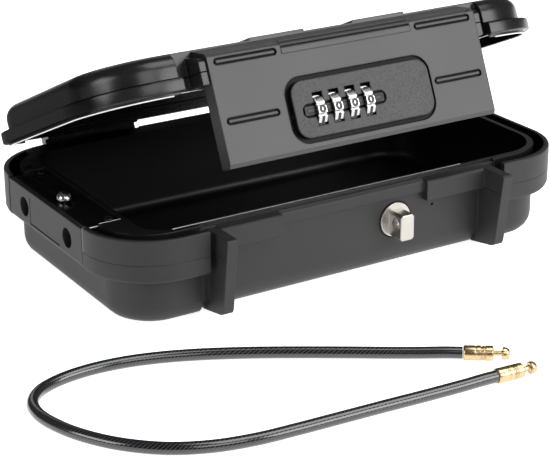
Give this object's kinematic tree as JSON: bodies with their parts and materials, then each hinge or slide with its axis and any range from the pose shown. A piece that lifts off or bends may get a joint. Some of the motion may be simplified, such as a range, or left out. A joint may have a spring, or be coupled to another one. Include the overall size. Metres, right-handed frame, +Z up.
{
  "type": "portable car safe",
  "caption": "Portable car safe of black moulded plastic with a hinged lid, a dial combination lock, a strike stud and a loose security cable.",
  "frame": {"origin": "middle of the underside of the case", "axes": "+X to the right along the long side, +Y to the hinge side at the back, +Z up"},
  "size_m": [0.2972, 0.2607, 0.1128],
  "materials": {
    "case_plastic": "fine grained charcoal",
    "lid_plastic": "satin charcoal",
    "black_plastic": "satin black",
    "chrome": "polished",
    "nickel": "plated, softly polished",
    "steel": "zinc plated",
    "spring_steel": "bright wire",
    "brass": "polished",
    "cable_sheath": "clear vinyl over twisted steel strands"
  },
  "bodies": {
    "root": {"base_shell": "case_plastic", "cable_anchor_block": "case_plastic", "anchor_cover": "black_plastic", "anchor_cover_screw_1": "steel", "anchor_cover_screw_2": "steel", "strike_stud": "nickel", "strike_washer": "steel", "strike_nut": "steel", "security_cable": "cable_sheath", "cable_end_upper": "brass", "cable_end_lower": "brass"},
    "cable_lock": {"cable_lock_slide": "steel", "cable_lock_knob": "chrome"},
    "lid": {"lid_shell": "lid_plastic", "hinge_pin_left": "steel", "hinge_pin_right": "steel", "lock_cover": "case_plastic", "dial_panel": "case_plastic", "lock_frame": "black_plastic", "detent_spring": "spring_steel", "frame_screw_1": "steel", "frame_screw_2": "steel", "frame_screw_3": "steel", "frame_screw_4": "steel", "cover_screw_1": "steel", "cover_screw_2": "steel", "cover_screw_3": "steel", "cover_screw_4": "steel"},
    "dial_1": {"dial_wheel_1": "chrome", "dial_sleeve_1": "steel"},
    "dial_2": {"dial_wheel_2": "chrome", "dial_sleeve_2": "steel"},
    "dial_3": {"dial_wheel_3": "chrome", "dial_sleeve_3": "steel"},
    "dial_4": {"dial_wheel_4": "chrome", "dial_sleeve_4": "steel"},
    "bolt": {"latch_bolt": "steel", "bolt_spring": "spring_steel"}
  },
  "joints": [
    {"name": "lid_hinge", "type": "hinge", "parent": "root", "child": "lid", "pos_m": [0, 0.0716, 0.0355], "axis": [-1, 0, 0], "range_deg": [-24, 76]},
    {"name": "dial_1_turn", "type": "hinge", "parent": "lid", "child": "dial_1", "pos_m": [-0.0217, -0.06315, 0.08247], "axis": [1, 0, 0], "continuous": true},
    {"name": "dial_2_turn", "type": "hinge", "parent": "lid", "child": "dial_2", "pos_m": [-0.01355, -0.06315, 0.08247], "axis": [1, 0, 0], "continuous": true},
    {"name": "dial_3_turn", "type": "hinge", "parent": "lid", "child": "dial_3", "pos_m": [-0.0054, -0.06315, 0.08247], "axis": [1, 0, 0], "continuous": true},
    {"name": "dial_4_turn", "type": "hinge", "parent": "lid", "child": "dial_4", "pos_m": [0.00275, -0.06315, 0.08247], "axis": [1, 0, 0], "continuous": true},
    {"name": "bolt_slide", "type": "slide", "parent": "lid", "child": "bolt", "axis": [1, 0, 0], "range_m": [0, 0.004], "stiffness_N_per_m": 250, "springref_m": -0.002, "deforming": ["bolt_spring"]},
    {"name": "cable_lock_slide_travel", "type": "slide", "parent": "root", "child": "cable_lock", "axis": [0, -1, 0], "range_m": [0, 0.0055]}
  ]
}
